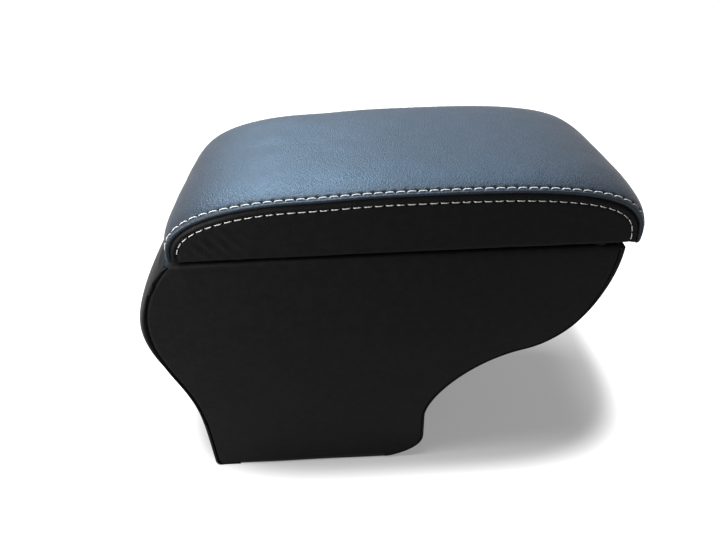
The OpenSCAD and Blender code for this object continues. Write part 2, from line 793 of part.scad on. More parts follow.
module lid_board() {
    color(board_brown) difference() {
        lid_board_block(0);
        leaf_screw_holes(upper_screws, board_z - past, small_screw_l);
        for (y = [-1, 1])
            bar_z([housing_mid, y * strike_screw_y, board_z - past],
                small_screw_r + screw_fit, small_screw_l);
    }
}

module lid_side(side) {
    color(leather_black) mirror([0, side > 0 ? 1 : 0, 0]) {
        prism_y(-lid_half_w, -lid_half_w + skin_t) lid_outline(layer + fit);
        block([-lid_rear + hem_w + fit, -lid_half_w + skin_t / 2, lid_z],
            [lid_l - lid_rear - hem_w - fit, -lid_half_w + skin_t + hem_w, lid_z + skin_t]);
    }
}

module lid_lining() {
    color(felt_black) difference() {
        block([-lid_rear + hem_w + fit, -lid_half_w + skin_t + hem_w + fit, lid_z],
            [lid_l - lid_rear - hem_w - fit, lid_half_w - skin_t - hem_w - fit, lid_z + skin_t]);
        for (y = [-1, 1])
            bar_z([housing_mid, y * strike_screw_y, lid_z - past],
                small_screw_r + screw_fit, skin_t + 2 * past);
        leaf_screw_holes(upper_screws, lid_z - past, skin_t + 2 * past);
    }
}

floor_board();
side_board(1);  // side_board_left
side_board(-1);  // side_board_right
rear_wall();
front_wall();
hinge_rail();
catch_rail();
color(steel) frame_screws(1);  // frame_screws_left
color(steel) frame_screws(-1);  // frame_screws_right
rear_foam();
rear_cover();
front_cover();
side_cover(1);  // side_cover_left
side_cover(-1);  // side_cover_right
felt_wrap();
felt_side(1);  // felt_left
felt_side(-1);  // felt_right
catch_magnet();
catch_housing();
catch_screws();
buffer(1);  // buffer_left
buffer(-1);  // buffer_right
hinge_leaf_lower();
hinge_pin();
hinge_screws_lower();
hinge_leaf_upper();
hinge_screws_upper();
lid_board();
lid_foam();
lid_top_cover();
lid_side(1);  // lid_side_left
lid_side(-1);  // lid_side_right
lid_lining();
strike_plate();
strike_screws();
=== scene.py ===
# Car centre armrest: leather covers, stitching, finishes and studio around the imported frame.
# Shapes are worked out in millimetres in the row frame, and turned to metres as a mesh is made.
# +X points to the front and +Z up, and the part is symmetric about Y = 0.

import json
import math

import bpy
import numpy as np
from mathutils import Matrix, Vector


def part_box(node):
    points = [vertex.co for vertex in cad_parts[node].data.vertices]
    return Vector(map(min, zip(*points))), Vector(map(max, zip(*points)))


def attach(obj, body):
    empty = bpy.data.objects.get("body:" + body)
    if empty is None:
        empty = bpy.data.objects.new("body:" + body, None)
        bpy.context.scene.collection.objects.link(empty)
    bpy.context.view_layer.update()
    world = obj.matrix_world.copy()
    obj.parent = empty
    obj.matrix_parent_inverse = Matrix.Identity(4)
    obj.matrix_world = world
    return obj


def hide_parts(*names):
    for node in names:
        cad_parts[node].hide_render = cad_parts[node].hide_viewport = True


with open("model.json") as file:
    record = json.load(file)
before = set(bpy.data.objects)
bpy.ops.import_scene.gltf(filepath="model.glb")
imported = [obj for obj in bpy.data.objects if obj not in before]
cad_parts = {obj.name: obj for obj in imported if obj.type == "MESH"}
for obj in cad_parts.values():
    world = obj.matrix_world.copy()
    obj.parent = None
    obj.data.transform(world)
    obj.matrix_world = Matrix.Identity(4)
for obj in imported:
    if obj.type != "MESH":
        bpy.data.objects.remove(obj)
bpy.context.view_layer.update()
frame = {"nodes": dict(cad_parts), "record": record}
nodes = frame["nodes"]
MM = 0.001


def box_mm(node):
    """Lowest and highest corner of a CAD node, in millimetres."""
    low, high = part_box(node)
    return np.array(low) / MM, np.array(high) / MM


def polar(length, degrees):
    return np.array([length * math.cos(math.radians(degrees)), length * math.sin(math.radians(degrees))])


# Sizes read from the frame
top_low, top_high = box_mm("lid_top_cover")
front_low, front_high = box_mm("front_cover")
side_high = box_mm("side_cover_left")[1]
lining_high = box_mm("lid_lining")[1]
LID_HALF = top_high[1]
LID_Z = top_low[2]
HALF = side_high[1]
RIM_Z = side_high[2]
RIM_FRONT = front_high[0]
TOE_START = front_low[0]
SIDE_IN = box_mm("side_board_left")[0][1]
RAIL_REAR = box_mm("hinge_rail")[1][0]
RAIL_FRONT = box_mm("catch_rail")[0][0]

# Lid: the crown is how far the top strip swells past the seam
CROWN = 8.8
SEAM_REAR = top_low[0] + CROWN
SEAM_FRONT = top_high[0] - CROWN
SEAM_MID = (SEAM_REAR + SEAM_FRONT) / 2
SEAM_HALF = (SEAM_FRONT - SEAM_REAR) / 2
LID_RISE = top_high[2] - LID_Z - CROWN

# Powers that round the rear and front corners of the seam
REAR_BEND = (3.0, 0.37)
FRONT_BEND = (3.5, 0.30)

# A shallow dip in the seam's upper line, and how far its front foot flares out
SEAM_DIP = 1.1
DIP_X = 32.0
DIP_W = 26.0
FRONT_FLARE = 1.2
FLARE_SHARE = 0.5

# Share of the crown at the lower edge of both ends, full again END_H above it, and the extra share
# over the front, from FULL_X on
END_H = 14.0
END_POWER = 2.2
REAR_CROWN = 0.76
FRONT_CROWN = 0.5
FRONT_FULL = 0.14
FULL_X = 180.0
FULL_RAMP = 45.0

# Body outline in X and Z: cubic curves up the front and up the rear, with their slopes in degrees
NOSE = np.array([172.2, 119.2])
NOSE_SLOPE = 15
BELLY = np.array([-88.6, 125.0])
BELLY_SLOPE = 106
RIM_REAR = -64.2
RIM_SLOPE = 30.6
FOOT_REAR = -70.5
FOOT_FRONT = 102.5
TOE_Z = 25.7
KNEE_Z = 49.5
WAIST_Z = 40.0
HEEL_R = 6.0
TOE_CURVE = [(TOE_START, 0.0), (TOE_START + 3, 0.0), (FOOT_FRONT, 7.1), (FOOT_FRONT, TOE_Z)]
KNEE_CURVE = [(FOOT_FRONT, KNEE_Z), (FOOT_FRONT, KNEE_Z + 20), NOSE - polar(41.5, NOSE_SLOPE), NOSE]
NOSE_CURVE = [NOSE, NOSE + polar(21, NOSE_SLOPE), (RIM_FRONT, RIM_Z - 61.5), (RIM_FRONT, RIM_Z)]
WAIST_CURVE = [(FOOT_REAR, WAIST_Z), (FOOT_REAR, WAIST_Z + 47), BELLY - polar(30.5, BELLY_SLOPE), BELLY]
BACK_CURVE = [BELLY, BELLY + polar(49.3, BELLY_SLOPE), np.array([RIM_REAR, RIM_Z]) - polar(5, RIM_SLOPE),
              (RIM_REAR, RIM_Z)]

# Swell of the back strip: at the heel, over the back from the waist up, and above the belly
HEEL_RAMP = 10.0
SWELL_RAMP = 40.0
HEEL_CROWN = 3.0
BACK_CROWN = 7.0
BELLY_CROWN = 5.0
BELLY_UP = 22.0
BELLY_W = 24.0

# The front strip's swell over its middle, and its bulge below the rim
FRONT_SWELL = 0.9
FRONT_BULGE = 1.6
BULGE_DOWN = 12.0
BULGE_W = 26.0

# Leather, folds and rolled edges
LEATHER_T = 0.8
FOLD = 3.0         # depth of a sewn fold
PAST_FOLD = 1.7    # where the plain leather beside a fold starts
EDGE_R = 1.6       # rolls of the lid's lower edge, the foot's edge and the strips' ends
RIM_R = 3.5        # roll of a side panel over the rim
CORNER_R = 1.3     # corners of the front strip
CORNER_IN = 2.0    # how far behind those corners its seams lie
RAIL_GAP = 1.7     # how far past the boards and rails the leather drops into the bin
DROP_L = 15.0      # length of that drop
HEM_L = 12.0       # hem under the foot
LIFT = 0.3         # gap under the foot's leather, and between sheets that meet at the rim

# Stitching
STITCH_PITCH = 6.5
UPPER_L = 0.92     # length of an upper stitch, as a share of the pitch
LOWER_L = 0.86     # the same of a lower stitch
UPPER_ROW = 4.0    # distance of the upper row from the seam
LOWER_ROW = 4.2    # distance of the lower row from the seam
UPPER_LOW = 1.5    # height over the lid's lower edge from which the upper row has needle holes
LOWER_LOW = 0.5    # the same of the lower row
THREAD_R = 0.31
DIVE = 1.3         # how far a thread's ends lie below its middle
PLY = 0.13         # share of its radius by which the thread's two plies bulge
TWIST = 9          # twice the turn of the plies from a stitch's middle to its end, in radians
ALONG = STITCH_PITCH / 7


# Curves

def cubic(points, count=60):
    """Evenly timed points on a cubic curve."""
    p = [np.array(q, float) for q in points]
    t = np.linspace(0, 1, count + 1)[:, None]
    return (1 - t) ** 3 * p[0] + 3 * t * (1 - t) ** 2 * p[1] + 3 * t * t * (1 - t) * p[2] + t ** 3 * p[3]


def joined(*parts):
    """Several polylines as one, without repeated points."""
    line = np.vstack(parts)
    keep = np.r_[True, np.linalg.norm(np.diff(line, axis=0), axis=1) > 1e-6]
    return line[keep]


def lengths(line):
    """Distance along a polyline at each of its points."""
    return np.r_[0, np.cumsum(np.linalg.norm(np.diff(line, axis=0), axis=1))]


def at_length(line, s):
    """Points of a polyline at the given distances along it."""
    known = lengths(line)
    return np.stack([np.interp(s, known, line[:, k]) for k in range(line.shape[1])], axis=-1)


def spaced(line, step):
    """A polyline with even steps."""
    total = lengths(line)[-1]
    return at_length(line, np.linspace(0, total, int(round(total / step)) + 1))


def left_normals(line):
    """Unit normals to the left of the direction of travel."""
    slope = np.gradient(line, axis=0)
    slope /= np.linalg.norm(slope, axis=1)[:, None]
    return np.stack([-slope[:, 1], slope[:, 0]], axis=1)


def unit_rows(vectors):
    """Vectors of length 1 in the same directions."""
    return vectors / np.linalg.norm(vectors, axis=-1, keepdims=True)


def bell(x, width):
    """1 where x is 0, falling off to both sides over the width."""
    return np.exp(-(np.asarray(x) / width) ** 2)


def smooth(x):
    """From 0 to 1 with level ends."""
    x = np.clip(x, 0, 1)
    return x * x * (3 - 2 * x)


def arc(centre, r, start, end, count=8):
    """Points on an arc from one angle to another, in degrees."""
    a = np.radians(np.linspace(start, end, count + 1))
    return np.stack([centre[0] + r * np.cos(a), centre[1] + r * np.sin(a)], axis=1)


def lid_seam():
    """The seam over the lid, from its rear foot to its front foot, in X and Z."""
    a = np.radians(np.linspace(0, 90, 361))

    def half(sign, bend):
        x = SEAM_MID + sign * SEAM_HALF * np.cos(a) ** (2 / bend[0])
        return np.stack([x, LID_Z + LID_RISE * np.sin(a) ** (2 * bend[1])], axis=1)
    line = joined(half(-1, REAR_BEND), half(1, FRONT_BEND)[::-1])
    line[:, 1] -= SEAM_DIP * bell(line[:, 0] - DIP_X, DIP_W)
    low = np.clip(1 - (line[:, 1] - LID_Z) / (FLARE_SHARE * LID_RISE), 0, 1)
    line[:, 0] += FRONT_FLARE * low * (line[:, 0] > SEAM_MID)
    return line


def seam_outward(seam):
    """The way out of the lid along its seam, level at both feet."""
    out = left_normals(seam)
    out[0] = [-1, 0]
    out[-1] = [1, 0]
    return out


# Front and rear lines of the body's side, from the floor up to the rim
front_line = joined(cubic(TOE_CURVE), cubic(KNEE_CURVE), cubic(NOSE_CURVE))
heel = arc((FOOT_REAR + HEEL_R, HEEL_R), HEEL_R, 270, 180)
rear_line = joined(heel, cubic(WAIST_CURVE), cubic(BACK_CURVE))


def swell(v, flat=3.6, full=0.42):
    """Swell of a padded strip across its width: full in the middle, none at the seams."""
    return np.maximum(0, 1 - np.abs(v) ** flat) ** full


def strip_section(half, crown, fine_l=8.0, fine=0.5, step=2.2, near=0.3):
    """Half a cross-section of a padded strip from one seam to its middle: distance from the seam,
    place across and height, and the outward normal in that plane. The steps are fine up to fine_l."""
    v = np.sin(np.linspace(np.pi / 2, 0, 2001))
    line = np.stack([half * v, crown * swell(v)], axis=1)
    total = lengths(line)[-1]
    wide = np.linspace(fine_l, total, int((total - fine_l) / step) + 1)
    u = np.r_[np.arange(PAST_FOLD, fine_l, fine), wide]
    points = at_length(line, u)
    slope = unit_rows(at_length(line, u + near) - at_length(line, np.maximum(u - near, 0)) + 1e-9)
    normal = np.stack([slope[:, 1], -slope[:, 0]], axis=1)
    normal[-1] = [0, 1]
    return u, points, normal


# Fold of the leather into a seam: distance past the seam line and depth under the surface. The fold
# is narrower at the front strip's seams.
FOLD_SHAPE = np.array([(0.03, FOLD), (0.03, 0.66 * FOLD), (0.06, 1.15), (0.6, 0.62), (1.25, 0.18)])
FOLDS = len(FOLD_SHAPE)
FRONT_FOLD = FOLD_SHAPE * [0.45, 1]


def rolled(past, r):
    """A sheet that runs past an edge and rolls over it: how far in it is, and how far along the roll."""
    a = np.clip(past / r, 0, np.pi / 2)
    inward = r * (1 - np.cos(a)) + np.maximum(past - r * np.pi / 2, 0)
    return inward, r * np.sin(a)


def over_rim(past, r, flange, inner_r=EDGE_R):
    """A sheet that rolls over the rim, runs in over it and drops into the bin: inward and height."""
    inward, lift = rolled(past, r)
    height = lift - r
    down = past - r * np.pi / 2 - flange
    a = np.clip(down / inner_r, 0, np.pi / 2)
    inward = np.where(down > 0, r + flange + inner_r * np.sin(a), inward)
    drop = inner_r * (1 - np.cos(a)) + np.maximum(down - inner_r * np.pi / 2, 0)
    return inward, np.where(down > 0, -drop, height)


def rim_steps(r, flange, inner_r=EDGE_R):
    """Distances along a sheet that goes over the rim, with more of them where it bends, and how many
    of them lie before it bends down into the bin."""
    outer = np.linspace(0, r * np.pi / 2, 7)[1:]
    across = outer[-1] + np.linspace(0, flange, 6)[1:]
    inner = across[-1] + np.linspace(0, inner_r * np.pi / 2, 5)[1:]
    down = inner[-1] + np.array([4, 8, DROP_L - inner_r])
    return np.concatenate([outer, across, inner, down]), len(outer) + len(across)


# Directions and phases of the soft waves in the leather, the same on each run
noise_rng = np.random.default_rng(7)
WAVES = [(noise_rng.normal(size=2), noise_rng.uniform(0, 2 * np.pi)) for _ in range(24)]
WAVE_LEVEL = 0.8


def soft_waves(a, b, size):
    """Smooth waves over two coordinates in millimetres, roughly from -1 to 1. A number that a caller
    adds to a coordinate gives its piece another stretch of them."""
    total = 0
    for direction, phase in WAVES:
        total = total + np.sin((direction[0] * a + direction[1] * b) / size * 2 + phase)
    return total / math.sqrt(len(WAVES)) * WAVE_LEVEL


# Meshes

def mesh_piece(name, points, faces, material, marks=None):
    """A piece from points in millimetres and lists of point numbers, with named values per point."""
    mesh = bpy.data.meshes.new(name)
    mesh.from_pydata((np.asarray(points) * MM).tolist(), [], faces)
    mesh.update()
    mesh.polygons.foreach_set("use_smooth", [True] * len(mesh.polygons))
    for key, values in (marks or {}).items():
        layer = mesh.attributes.new(key, "FLOAT", "POINT")
        layer.data.foreach_set("value", np.asarray(values, np.float32))
    piece = bpy.data.objects.new(name, mesh)
    bpy.context.scene.collection.objects.link(piece)
    mesh.materials.append(material)
    return piece


def leather_sheet(name, grid, material, inside, keep=None, near_seam=0.0, pits=0.0):
    """A sheet of leather from a grid of points on its outer face, which looks away from the point
    inside. Its thickness is added on the inner side."""
    rows, cols = grid.shape[:2]
    number = np.arange(rows * cols).reshape(rows, cols)
    quads = np.stack([number[:-1, :-1], number[1:, :-1], number[1:, 1:], number[:-1, 1:]], axis=-1)
    across = np.cross(grid[1:, :-1] - grid[:-1, :-1], grid[:-1, 1:] - grid[:-1, :-1])
    if np.sum(across * (grid[:-1, :-1] - inside)) < 0:
        quads = quads[:, :, ::-1]
    if keep is None:
        keep = np.ones((rows - 1, cols - 1), bool)
    faces = quads[keep]
    used = np.unique(faces)
    renumber = np.full(rows * cols, -1)
    renumber[used] = np.arange(len(used))
    # The pits mark sets where the leather paints shade in the needle holes
    marks = {key: np.broadcast_to(value, (rows, cols)).reshape(-1)[used]
             for key, value in (("near_seam", near_seam), ("pits", pits))}
    piece = mesh_piece(name, grid.reshape(-1, 3)[used], renumber[faces].tolist(), material, marks)
    thick = piece.modifiers.new("thickness", "SOLIDIFY")
    thick.thickness = LEATHER_T * MM
    thick.offset = -1
    thick.use_even_offset = False
    return piece


def mirrored(grid):
    return grid * np.array([1, -1, 1])


def both_halves(half_grid):
    """A half grid from the seam at +Y to the middle, with its mirror image added."""
    return np.concatenate([half_grid, mirrored(half_grid[:, :-1])[:, ::-1]], axis=1)


def both_sides(values):
    """Values of a half grid, repeated for its mirror image."""
    return np.concatenate([values, values[..., :-1][..., ::-1]], axis=-1)


# Materials

def node_material(name):
    material = bpy.data.materials.new(name)
    material.use_nodes = True
    tree = material.node_tree
    return material, tree, tree.nodes["Principled BSDF"]


def add(tree, kind, **values):
    """A node with its settings and unlinked inputs."""
    made = tree.nodes.new(kind)
    for key, value in values.items():
        if hasattr(made, key):
            setattr(made, key, value)
        else:
            made.inputs[key.replace("_", " ")].default_value = value
    return made


def object_coords(tree, stretch=(1, 1, 1), turn=(0, 0, 0)):
    coords = add(tree, "ShaderNodeTexCoord")
    mapping = add(tree, "ShaderNodeMapping")
    mapping.inputs["Scale"].default_value = stretch
    mapping.inputs["Rotation"].default_value = turn
    tree.links.new(coords.outputs["Object"], mapping.inputs["Vector"])
    return mapping.outputs["Vector"]


def noise(tree, vector, scale, detail=2.0, rough=0.5):
    made = add(tree, "ShaderNodeTexNoise", Scale=scale, Detail=detail, Roughness=rough)
    tree.links.new(vector, made.inputs["Vector"])
    return made.outputs["Fac"]


def math_node(tree, kind, a, b):
    made = add(tree, "ShaderNodeMath", operation=kind)
    for socket, value in zip(made.inputs, (a, b)):
        if isinstance(value, (int, float)):
            socket.default_value = value
        else:
            tree.links.new(value, socket)
    return made.outputs[0]


def spread(tree, value, low, high):
    """Turns 0 to 1 into low to high."""
    made = add(tree, "ShaderNodeMapRange")
    made.inputs["To Min"].default_value = low
    made.inputs["To Max"].default_value = high
    tree.links.new(value, made.inputs["Value"])
    return made.outputs["Result"]


def colour_mix(tree, value, dark, light, ends=(0.3, 0.7)):
    ramp = add(tree, "ShaderNodeValToRGB")
    ramp.color_ramp.elements[0].color = (*dark, 1)
    ramp.color_ramp.elements[1].color = (*light, 1)
    ramp.color_ramp.elements[0].position = ends[0]
    ramp.color_ramp.elements[1].position = ends[1]
    tree.links.new(value, ramp.inputs["Fac"])
    return ramp.outputs["Color"]


def blended(tree, factor, first, second):
    """One colour to another by a factor; the second is a plain colour."""
    mix = add(tree, "ShaderNodeMix", data_type="RGBA")
    tree.links.new(factor, mix.inputs["Factor"])
    tree.links.new(first, mix.inputs[6])
    mix.inputs[7].default_value = (*second, 1)
    return mix.outputs[2]


def add_bump(tree, shader, height, depth):
    bump = add(tree, "ShaderNodeBump", Strength=1.0, Distance=depth)
    tree.links.new(height, bump.inputs["Height"])
    tree.links.new(bump.outputs["Normal"], shader.inputs["Normal"])


# Leather's texture: scales of its mottling, cells of grain and pores, stretch and turn of its creases,
# relief of pores and mottling as shares of the grain's, and how much deeper a crease is at a seam
MOTTLE_SCALE = 180
CELL_SCALE = 860
PORE_SCALE = 1500
CREASE_STRETCH = (110, 300, 220)
CREASE_TURN = (0.3, 0.2, 0.75)
PORE_SHARE = 0.2
MOTTLE_SHARE = 0.4
SEAM_CREASE = 3.5
LEATHER_RELIEF = 0.0006
# Painted shade in the needle holes: the colour that the leather takes in their pits
NEEDLE_PAINTED_SHADE = (0.001, 0.001, 0.001)


def leather(name, dark, light, rough, specular, tint, grain, crease):
    """Pebbled leather: cells of grain, fine pores, creases that deepen near a seam, and painted shade
    in the needle holes."""
    material, tree, shader = node_material(name)
    flat = object_coords(tree)
    mottle = noise(tree, flat, MOTTLE_SCALE, 3)
    cells = add(tree, "ShaderNodeTexVoronoi", Scale=CELL_SCALE, Randomness=0.9)
    cells.feature = "SMOOTH_F1"
    cells.inputs["Smoothness"].default_value = 0.5
    tree.links.new(flat, cells.inputs["Vector"])
    fine = noise(tree, flat, PORE_SCALE, 2)
    diagonal = object_coords(tree, CREASE_STRETCH, CREASE_TURN)
    creases = noise(tree, diagonal, 1.0, 3, 0.55)
    seam = add(tree, "ShaderNodeAttribute", attribute_name="near_seam").outputs["Fac"]
    pits = add(tree, "ShaderNodeAttribute", attribute_name="pits").outputs["Fac"]
    height = math_node(tree, "MULTIPLY", cells.outputs["Distance"], -grain)
    height = math_node(tree, "ADD", height, math_node(tree, "MULTIPLY", fine, PORE_SHARE * grain))
    height = math_node(tree, "ADD", height, math_node(tree, "MULTIPLY", mottle, MOTTLE_SHARE * grain))
    deeper = math_node(tree, "ADD", crease, math_node(tree, "MULTIPLY", seam, SEAM_CREASE * crease))
    height = math_node(tree, "ADD", height, math_node(tree, "MULTIPLY", creases, deeper))
    add_bump(tree, shader, height, LEATHER_RELIEF)
    colour = colour_mix(tree, mottle, dark, light)
    # The pits mark darkens the colour: painted shade in the needle holes, which are also rougher
    tree.links.new(blended(tree, pits, colour, NEEDLE_PAINTED_SHADE), shader.inputs["Base Color"])
    even = spread(tree, fine, rough - 0.05, rough + 0.05)
    tree.links.new(math_node(tree, "ADD", even, math_node(tree, "MULTIPLY", pits, 0.4)),
                   shader.inputs["Roughness"])
    shader.inputs["Specular IOR Level"].default_value = specular
    shader.inputs["Specular Tint"].default_value = (*tint, 1)
    return material


def plain(name, dark, light, rough, scale, depth, detail=3.0, stretch=(1, 1, 1), metallic=0.0,
          specular=0.5):
    """A finish with fine colour, roughness and relief from one noise."""
    material, tree, shader = node_material(name)
    vector = object_coords(tree, stretch)
    grain = noise(tree, vector, scale, detail, 0.6)
    tree.links.new(colour_mix(tree, grain, dark, light), shader.inputs["Base Color"])
    tree.links.new(spread(tree, grain, rough - 0.06, rough + 0.06), shader.inputs["Roughness"])
    add_bump(tree, shader, grain, depth)
    shader.inputs["Metallic"].default_value = metallic
    shader.inputs["Specular IOR Level"].default_value = specular
    return material


def felt_material():
    material = plain("felt", (0.012, 0.012, 0.013), (0.03, 0.03, 0.032), rough=0.92, scale=1500,
                     depth=0.0005, detail=4.0, specular=0.2)
    shader = material.node_tree.nodes["Principled BSDF"]
    shader.inputs["Sheen Weight"].default_value = 0.25
    shader.inputs["Sheen Roughness"].default_value = 0.6
    return material


def foam_material():
    """Open-cell foam: rounded pits over a pale grey, with painted shade darkening the pits."""
    material, tree, shader = node_material("foam")
    vector = object_coords(tree)
    pits = add(tree, "ShaderNodeTexVoronoi", Scale=900)
    tree.links.new(vector, pits.inputs["Vector"])
    # Darker where the bump makes a pit: painted shade
    tree.links.new(colour_mix(tree, pits.outputs["Distance"], (0.2, 0.2, 0.19), (0.36, 0.36, 0.34)),
                   shader.inputs["Base Color"])
    shader.inputs["Roughness"].default_value = 0.9
    add_bump(tree, shader, pits.outputs["Distance"], 0.0008)
    return material


def thread_material():
    """Pale thread, with painted shade where it goes into the leather."""
    material, tree, shader = node_material("thread")
    vector = object_coords(tree, (1, 1, 1), (0.5, 0.6, 0.4))
    fibre = noise(tree, vector, 1800, 3)
    ends = add(tree, "ShaderNodeAttribute", attribute_name="ends").outputs["Fac"]
    colour = colour_mix(tree, fibre, (0.32, 0.315, 0.305), (0.54, 0.53, 0.515))
    # Dark grey at the ends: painted shade where the thread dives into the needle holes
    tree.links.new(blended(tree, ends, colour, (0.12, 0.12, 0.12)), shader.inputs["Base Color"])
    tree.links.new(spread(tree, fibre, 0.65, 0.8), shader.inputs["Roughness"])
    shader.inputs["Specular IOR Level"].default_value = 0.3
    add_bump(tree, shader, fibre, 0.0001)
    return material


# The lid and the body are the same black leather in two copies. The lid's copy has a bluish base and a
# blue specular tint: a painted blue sheen. The side copy's specular is set very low to keep it dark: a
# shaded copy.
leather_side_shaded = leather("leather_side_shaded", (0.0045, 0.0045, 0.0048), (0.0068, 0.0068, 0.0071), rough=0.5,
                       specular=0.035, tint=(1, 1, 1), grain=0.3, crease=0.12)
leather_lid_painted_sheen = leather("leather_lid_painted_sheen", (0.006, 0.007, 0.010), (0.009, 0.0105, 0.014), rough=0.48,
                      specular=0.23, tint=(0.66, 0.84, 1.0), grain=0.4, crease=0.09)
felt = felt_material()
foam = foam_material()
thread = thread_material()
board = plain("board", (0.4, 0.27, 0.15), (0.58, 0.42, 0.26), rough=0.75, scale=60, depth=0.0003,
              detail=5.0, stretch=(1, 6, 6))
steel = plain("steel", (0.42, 0.42, 0.43), (0.6, 0.6, 0.6), rough=0.32, scale=900, depth=0.0001,
              detail=2.0, stretch=(1, 8, 8), metallic=1.0)
magnet = plain("magnet", (0.4, 0.41, 0.43), (0.5, 0.51, 0.53), rough=0.25, scale=500, depth=0.00005,
               detail=2.0, metallic=1.0)
hinge_black = plain("hinge_black", (0.02, 0.02, 0.022), (0.035, 0.035, 0.038), rough=0.4, scale=1200,
                    depth=0.0001)
plastic = plain("plastic", (0.018, 0.018, 0.018), (0.03, 0.03, 0.03), rough=0.55, scale=2200,
                depth=0.0003)
rubber = plain("rubber", (0.007, 0.007, 0.007), (0.012, 0.012, 0.012), rough=0.85, scale=1500,
               depth=0.0002, specular=0.1)

FINISHES = {"leather": leather_side_shaded, "leather_top": leather_lid_painted_sheen, "board": board, "felt": felt,
            "foam": foam, "steel": steel, "hinge_steel": hinge_black, "magnet": magnet,
            "plastic": plastic, "rubber": rubber}


def finish_nodes():
    """Each CAD node takes the finish of its material slot."""
    for part in frame["record"]["subparts"]:
        mesh = nodes[part["node"]].data
        mesh.materials.clear()
        mesh.materials.append(FINISHES[part["material_slot"]])


# Lid

HEM_SIDE = lining_high[1]
HEM_IN = SEAM_FRONT - lining_high[0]
ROLL_L = EDGE_R * math.pi / 2
LID_INSIDE = np.array([SEAM_MID, 0, LID_Z + 12])

# The upper stitches keep this much further from the seam around the rear corner
CORNER_EXTRA = 1.3
CORNER_X = -48.0
CORNER_W = 22.0

# Half lengths of a needle's pit along and across its row, and half width of the stitches' groove
PIT_L = 0.95
PIT_W = 1.0
GROOVE_W = 1.0

# The rows below a side panel's layers fan out to a shorter base line: its length as a share of the
# last layer's, and how much further from the seam it counts as being
FAN_SHARE = 0.86
FAN_L = 30

# Faint slanting wrinkles over the rear lower corner of a side panel: height, middle, half lengths,
# waves per millimetre in radians, slant, and how the waves tighten towards the front
SLACK_H = 0.28
SLACK_FROM = 26
SLACK_UP = 13
SLACK_L = 20
SLACK_W = 12
SLACK_WAVE = 0.62
SLACK_SLANT = 0.9
SLACK_TIGHTEN = 0.03


def upper_row_at(x):
    """Distance of the upper stitches from the seam."""
    return UPPER_ROW + CORNER_EXTRA * bell(x - CORNER_X, CORNER_W)


def seam_relief(u, s, row, band, dip, pit, past):
    """Relief of a sewn sheet at distance u from the seam and s along it: a puffed band between the
    seam and the stitches, a groove under the stitches, and a pit at each needle hole, which lies a
    little past the row. Also gives how much of a pit there is, for the painted shade in the pits."""
    ahead = (s / STITCH_PITCH + 0.5) % 1 - 0.5
    hole = bell(ahead * STITCH_PITCH, PIT_L) * bell(u - row - past, PIT_W)
    puff = band * bell(u - 0.5 * row, 0.42 * row)
    return puff - dip * bell(u - row, GROOVE_W) - pit * hole, hole


def end_crown(x, z):
    """Share of the crown at a place on the lid's seam: less towards the lower edge of both ends,
    and a little more over the front."""
    t = np.clip((z - LID_Z) / END_H, 0, 1)
    least = np.where(x < SEAM_MID, REAR_CROWN, FRONT_CROWN)
    full = 1 + FRONT_FULL * smooth((x - FULL_X) / FULL_RAMP)
    return (least + (1 - least) * (1 - (1 - t) ** END_POWER)) * full


def around_lid_edge(x, y, z, h, drop, sign):
    """Takes the parts of a row of the top strip that lie lower than the lid's rolled edge around that
    edge and in under the lid, where they make a narrower hem."""
    below = drop > 0
    inward, lift = rolled(np.maximum(drop, 0), EDGE_R)
    hem = smooth((drop - EDGE_R) / HEM_IN)
    narrow = (LID_HALF - HEM_SIDE) * np.clip((drop - ROLL_L) / HEM_IN, 0, 1)
    x = np.where(below, x - sign * (inward + hem * h), x)
    z = np.where(below, LID_Z + EDGE_R - lift, z)
    z[:FOLDS] += 0.5 * FOLD_SHAPE[:, 1] * np.clip(drop / EDGE_R, 0, 1)[:FOLDS]
    y = np.where(below, y * (LID_HALF - narrow) / LID_HALF, y)
    return np.stack([x, y, z], axis=1)


def lid_top():
    """The crowned strip over the lid, with its rolled ends and hems."""
    seam = spaced(lid_seam(), ALONG)
    s = lengths(seam)
    out = seam_outward(seam)
    u, section, normal = strip_section(LID_HALF, CROWN)
    past = np.r_[np.linspace(0.5 * EDGE_R, ROLL_L, 4), np.linspace(ROLL_L + 2, ROLL_L + HEM_IN, 6)]
    low = len(past)
    height = np.concatenate([-past[::-1], np.zeros(len(seam)), -past])
    centre = np.vstack([np.tile(seam[0], (low, 1)), seam, np.tile(seam[-1], (low, 1))])
    side_way = np.vstack([np.tile(out[0], (low, 1)), out, np.tile(out[-1], (low, 1))])
    along = np.concatenate([-past[::-1], s, s[-1] + past])
    half_rows = []
    pit_rows = []
    for k in range(len(centre)):
        relief, pit = seam_relief(u, along[k], upper_row_at(centre[k, 0]), band=0.75, dip=0.5, pit=1.0,
                                  past=0.7)
        relief = relief + 0.16 * soft_waves(along[k], section[:, 0], size=14) * smooth((u - 6) / 10)
        share = end_crown(*centre[k])
        y = section[:, 0] + relief * normal[:, 0]
        h = section[:, 1] * share + relief * normal[:, 1]
        y = np.r_[LID_HALF - FOLD_SHAPE[:, 1], y]
        h = np.r_[FOLD_SHAPE[:, 0], h]
        z = centre[k, 1] + side_way[k, 1] * h
        x = centre[k, 0] + side_way[k, 0] * h
        drop = LID_Z + EDGE_R - (z + height[k])
        sign = np.sign(centre[k, 0] - SEAM_MID)
        half_rows.append(around_lid_edge(x, y, z, h, drop, sign))
        # Needle pits, for the painted shade in the holes
        pit_rows.append(np.r_[np.zeros(FOLDS), pit])
    mark = np.r_[np.ones(FOLDS), smooth(1 - (u - 4) / 16)]
    piece = leather_sheet("lid_top_leather", both_halves(np.array(half_rows)), leather_lid_painted_sheen, LID_INSIDE,
                          near_seam=both_sides(mark)[None, :], pits=both_sides(np.array(pit_rows)))
    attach(piece, "lid")
    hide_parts("lid_top_cover")


